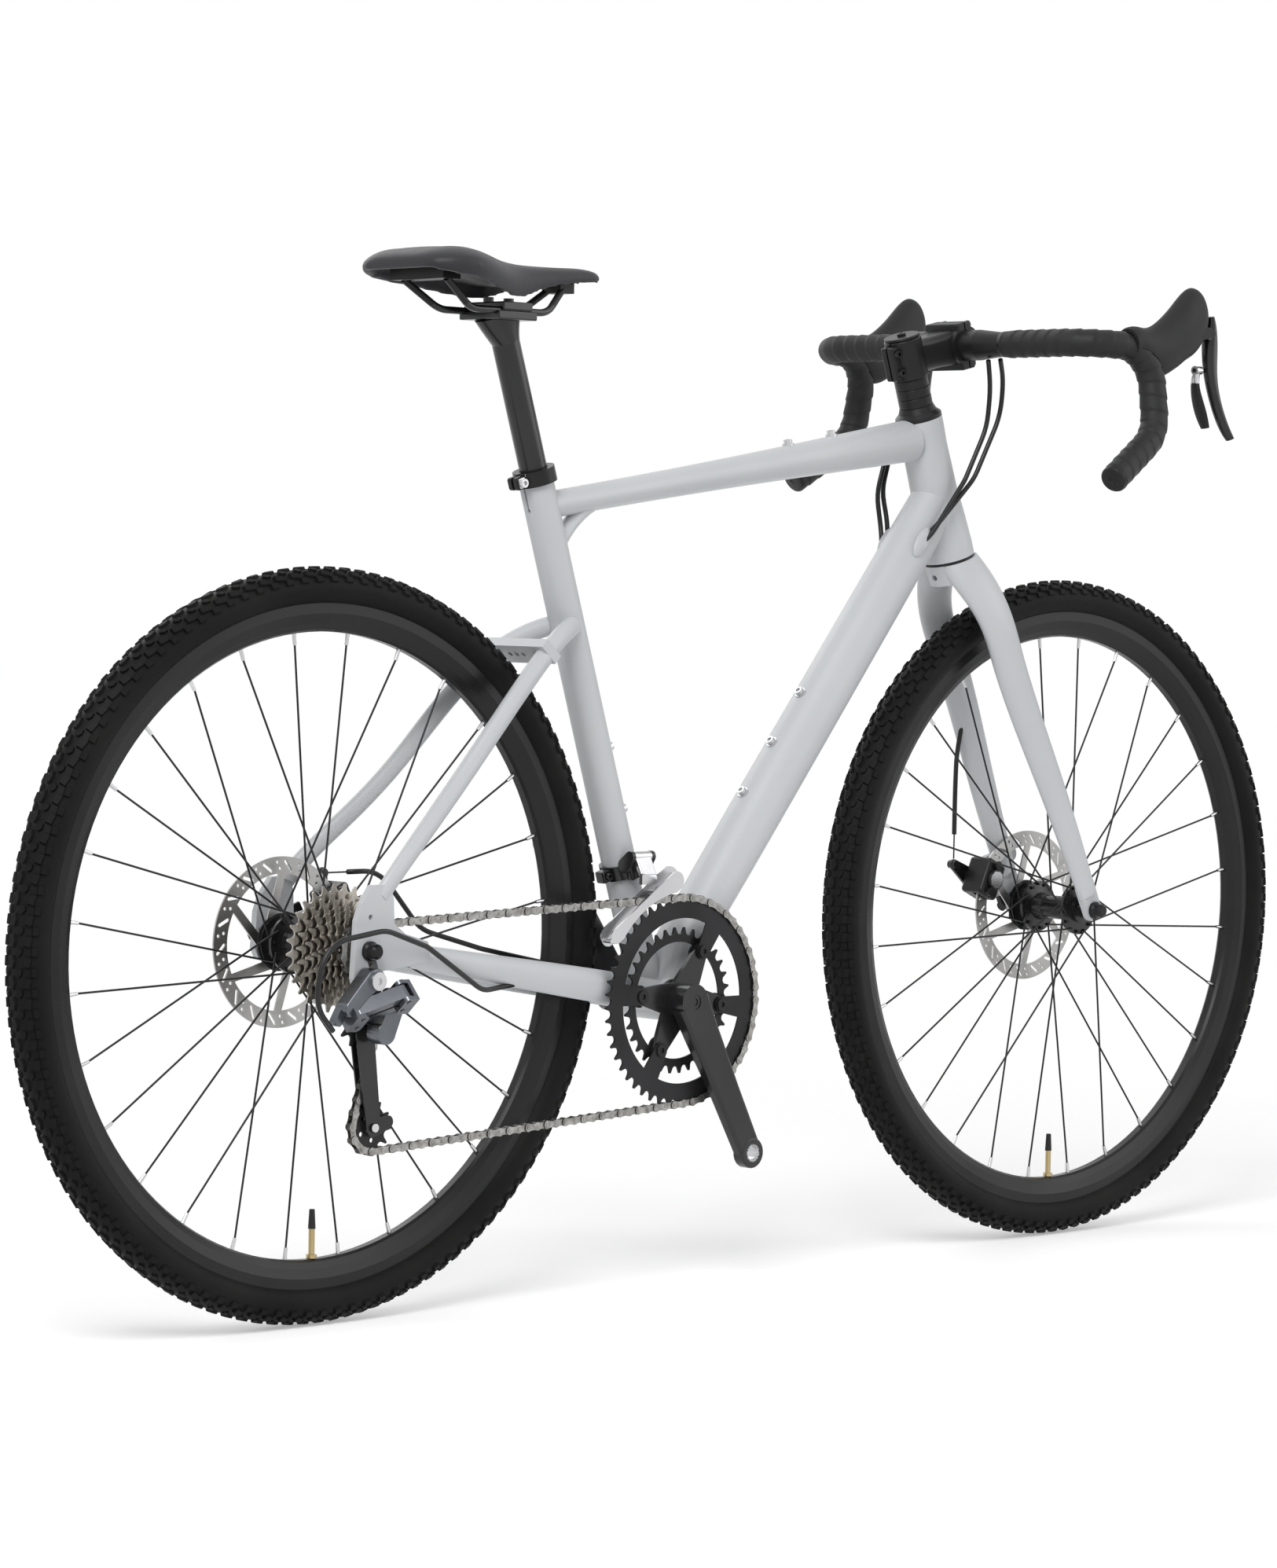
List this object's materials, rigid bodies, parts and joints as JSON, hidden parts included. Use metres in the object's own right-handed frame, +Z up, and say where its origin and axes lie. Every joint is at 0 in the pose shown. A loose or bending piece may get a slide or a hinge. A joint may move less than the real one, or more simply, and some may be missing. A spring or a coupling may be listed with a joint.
{
  "type": "gravel bicycle",
  "caption": "Drop-bar gravel bicycle with disc brakes, knobby tyres, derailleur gears and a padded saddle, without pedals.",
  "frame": {"origin": "on the ground, midway between the wheel axles, in the plane of the wheels", "axes": "+X forward, +Y to the rider's left, +Z up"},
  "size_m": [1.7399, 0.475, 1.004],
  "materials": {
    "frame_paint": "satin light grey paint",
    "black_alloy": "black anodised",
    "black_steel": "black coated steel",
    "bright_steel": "bare steel",
    "dark_alloy": "dark grey anodised",
    "chain_steel": "grey steel",
    "cog_steel": "nickel plated steel",
    "rubber": "matt",
    "tyre": "matt",
    "tape": "wrapped",
    "saddle_skin": "matt synthetic",
    "saddle_shell": "moulded",
    "black_plastic": "moulded",
    "housing": "smooth"
  },
  "bodies": {
    "frame": {"head_tube": "frame_paint", "top_tube": "frame_paint", "down_tube": "frame_paint", "seat_tube": "frame_paint", "chainstays": "frame_paint", "seatstays": "frame_paint", "seat_collar": "black_alloy", "boss_bolts": "bright_steel", "bottom_bracket": "black_alloy", "rear_axle": "black_steel", "derailleur_knuckle": "dark_alloy", "front_derailleur_body": "dark_alloy", "rear_brake_caliper": "black_alloy", "cables": "housing", "chain": "chain_steel"},
    "steering": {"fork_crown": "frame_paint", "fork_blades": "frame_paint", "headset": "black_alloy", "front_axle": "black_steel", "stem": "black_alloy", "handlebar": "black_alloy", "bar_tape": "tape", "lever_hoods": "rubber", "front_brake_caliper": "black_alloy", "front_brake_cable": "housing"},
    "front_wheel": {"front_tyre": "tyre", "front_tube": "rubber", "front_rim": "black_alloy", "front_spokes": "black_steel", "front_hub": "black_alloy", "front_rotor": "bright_steel"},
    "rear_wheel": {"rear_tyre": "tyre", "rear_tube": "rubber", "rear_rim": "black_alloy", "rear_spokes": "black_steel", "rear_hub": "black_alloy", "rear_rotor": "bright_steel"},
    "crank": {"crank_right": "black_alloy", "crank_left": "black_alloy", "chainrings": "black_steel"},
    "cassette": {"cassette": "cog_steel"},
    "outer_link": {"derailleur_outer_link": "dark_alloy"},
    "inner_link": {"derailleur_inner_link": "dark_alloy"},
    "lower_knuckle": {"derailleur_lower_knuckle": "dark_alloy"},
    "cage": {"derailleur_cage": "black_steel"},
    "guide": {"guide_pulley": "black_plastic"},
    "tension": {"tension_pulley": "black_plastic"},
    "front_shift": {"front_derailleur_cage": "bright_steel"},
    "lever_right": {"brake_lever_right": "dark_alloy"},
    "lever_left": {"brake_lever_left": "dark_alloy"},
    "paddle_right": {"shift_paddle_right": "black_plastic"},
    "paddle_left": {"shift_paddle_left": "black_plastic"},
    "arm_front": {"front_brake_arm": "dark_alloy"},
    "arm_rear": {"rear_brake_arm": "dark_alloy"},
    "seat": {"seatpost": "black_alloy", "saddle_clamp": "black_alloy", "saddle_base": "saddle_shell", "saddle_cover": "saddle_skin"},
    "release_front": {"front_qr_lever": "black_steel"},
    "release_rear": {"rear_qr_lever": "black_steel"}
  },
  "joints": [
    {"name": "steering", "type": "hinge", "parent": "frame", "child": "steering", "pos_m": [0.33989, 0, 0.71949], "axis": [-0.3256, 0, 0.9455], "range_deg": [-60, 60], "deforming": ["cables"]},
    {"name": "front_wheel_spin", "type": "hinge", "parent": "steering", "child": "front_wheel", "pos_m": [0.52, 0, 0.35], "axis": [0, 1, 0], "continuous": true},
    {"name": "rear_wheel_spin", "type": "hinge", "parent": "frame", "child": "rear_wheel", "pos_m": [-0.52, 0, 0.35], "axis": [0, 1, 0], "continuous": true},
    {"name": "crank_spin", "type": "hinge", "parent": "frame", "child": "crank", "pos_m": [-0.08832, 0, 0.282], "axis": [0, 1, 0], "continuous": true, "deforming": ["chain"]},
    {"name": "cassette_spin", "type": "hinge", "parent": "frame", "child": "cassette", "pos_m": [-0.52, 0, 0.35], "axis": [0, 1, 0], "continuous": true, "deforming": ["chain"]},
    {"name": "derailleur_swing", "type": "hinge", "parent": "frame", "child": "outer_link", "pos_m": [-0.544, -0.08796, 0.29801], "axis": [0, 0.6691, 0.7431], "range_deg": [0, 60], "stiffness_Nm_per_rad": 0.6, "springref_deg": -28.65, "deforming": ["chain", "cables"]},
    {"name": "inner_link_swing", "type": "hinge", "parent": "frame", "child": "inner_link", "pos_m": [-0.544, -0.07904, 0.28998], "axis": [0, 0.6691, 0.7431], "range_deg": [0, 60], "deforming": ["chain"]},
    {"name": "lower_knuckle_swing", "type": "hinge", "parent": "outer_link", "child": "lower_knuckle", "pos_m": [-0.50416, -0.10505, 0.3134], "axis": [0, 0.6691, 0.7431], "range_deg": [-60, 0], "deforming": ["chain"]},
    {"name": "cage_swing", "type": "hinge", "parent": "lower_knuckle", "child": "cage", "pos_m": [-0.512, -0.071, 0.276], "axis": [0, 1, 0], "range_deg": [-30, 40], "stiffness_Nm_per_rad": 1, "deforming": ["chain"]},
    {"name": "guide_pulley_spin", "type": "hinge", "parent": "cage", "child": "guide", "pos_m": [-0.51926, -0.062, 0.28581], "axis": [0, 1, 0], "continuous": true, "deforming": ["chain"]},
    {"name": "tension_pulley_spin", "type": "hinge", "parent": "cage", "child": "tension", "pos_m": [-0.5057, -0.062, 0.18674], "axis": [0, 1, 0], "continuous": true, "deforming": ["chain"]},
    {"name": "front_shift_swing", "type": "hinge", "parent": "frame", "child": "front_shift", "pos_m": [-0.13215, -0.028, 0.42337], "axis": [1, 0, 0], "range_deg": [0, 8], "deforming": ["chain"]},
    {"name": "brake_lever_right_pull", "type": "hinge", "parent": "steering", "child": "lever_right", "pos_m": [0.50809, -0.197, 0.95746], "axis": [0, 1, 0], "range_deg": [0, 22], "stiffness_Nm_per_rad": 0.6, "springref_deg": -17.19},
    {"name": "brake_lever_left_pull", "type": "hinge", "parent": "steering", "child": "lever_left", "pos_m": [0.50809, 0.197, 0.95746], "axis": [0, 1, 0], "range_deg": [0, 22], "stiffness_Nm_per_rad": 0.6, "springref_deg": -17.19, "deforming": ["front_brake_cable"]},
    {"name": "shift_paddle_right_push", "type": "hinge", "parent": "lever_right", "child": "paddle_right", "pos_m": [0.50209, -0.195, 0.91946], "axis": [1, 0, 0], "range_deg": [0, 18], "stiffness_Nm_per_rad": 0.15, "springref_deg": -17.19},
    {"name": "shift_paddle_left_push", "type": "hinge", "parent": "lever_left", "child": "paddle_left", "pos_m": [0.50209, 0.195, 0.91946], "axis": [-1, 0, 0], "range_deg": [0, 18], "stiffness_Nm_per_rad": 0.15, "springref_deg": -17.19},
    {"name": "front_brake_arm_pull", "type": "hinge", "parent": "steering", "child": "arm_front", "pos_m": [0.454, 0.062, 0.38], "axis": [0, 1, 0], "range_deg": [0, 22], "deforming": ["front_brake_cable"]},
    {"name": "rear_brake_arm_pull", "type": "hinge", "parent": "frame", "child": "arm_rear", "pos_m": [-0.453, 0.074, 0.3814], "axis": [0, 1, 0], "range_deg": [0, 22], "deforming": ["cables"]},
    {"name": "seatpost_height", "type": "slide", "parent": "frame", "child": "seat", "axis": [-0.309, 0, 0.9511], "range_m": [-0.1, 0.05]},
    {"name": "front_release_open", "type": "hinge", "parent": "steering", "child": "release_front", "pos_m": [0.52, 0.069, 0.35], "axis": [-0.8829, 0, -0.4695], "range_deg": [0, 100]},
    {"name": "rear_release_open", "type": "hinge", "parent": "frame", "child": "release_rear", "pos_m": [-0.52, 0.0865, 0.35], "axis": [-0.5, 0, 0.866], "range_deg": [0, 100]}
  ],
  "couplings": [
    {"joint": "cassette_spin", "follows": "crank_spin", "ratio": 4.5455},
    {"joint": "guide_pulley_spin", "follows": "crank_spin", "ratio": -4.5455},
    {"joint": "tension_pulley_spin", "follows": "crank_spin", "ratio": 4.5455},
    {"joint": "inner_link_swing", "follows": "derailleur_swing", "ratio": 1},
    {"joint": "lower_knuckle_swing", "follows": "derailleur_swing", "ratio": -1},
    {"joint": "front_brake_arm_pull", "follows": "brake_lever_left_pull", "ratio": 0.9},
    {"joint": "rear_brake_arm_pull", "follows": "brake_lever_right_pull", "ratio": 0.9}
  ]
}
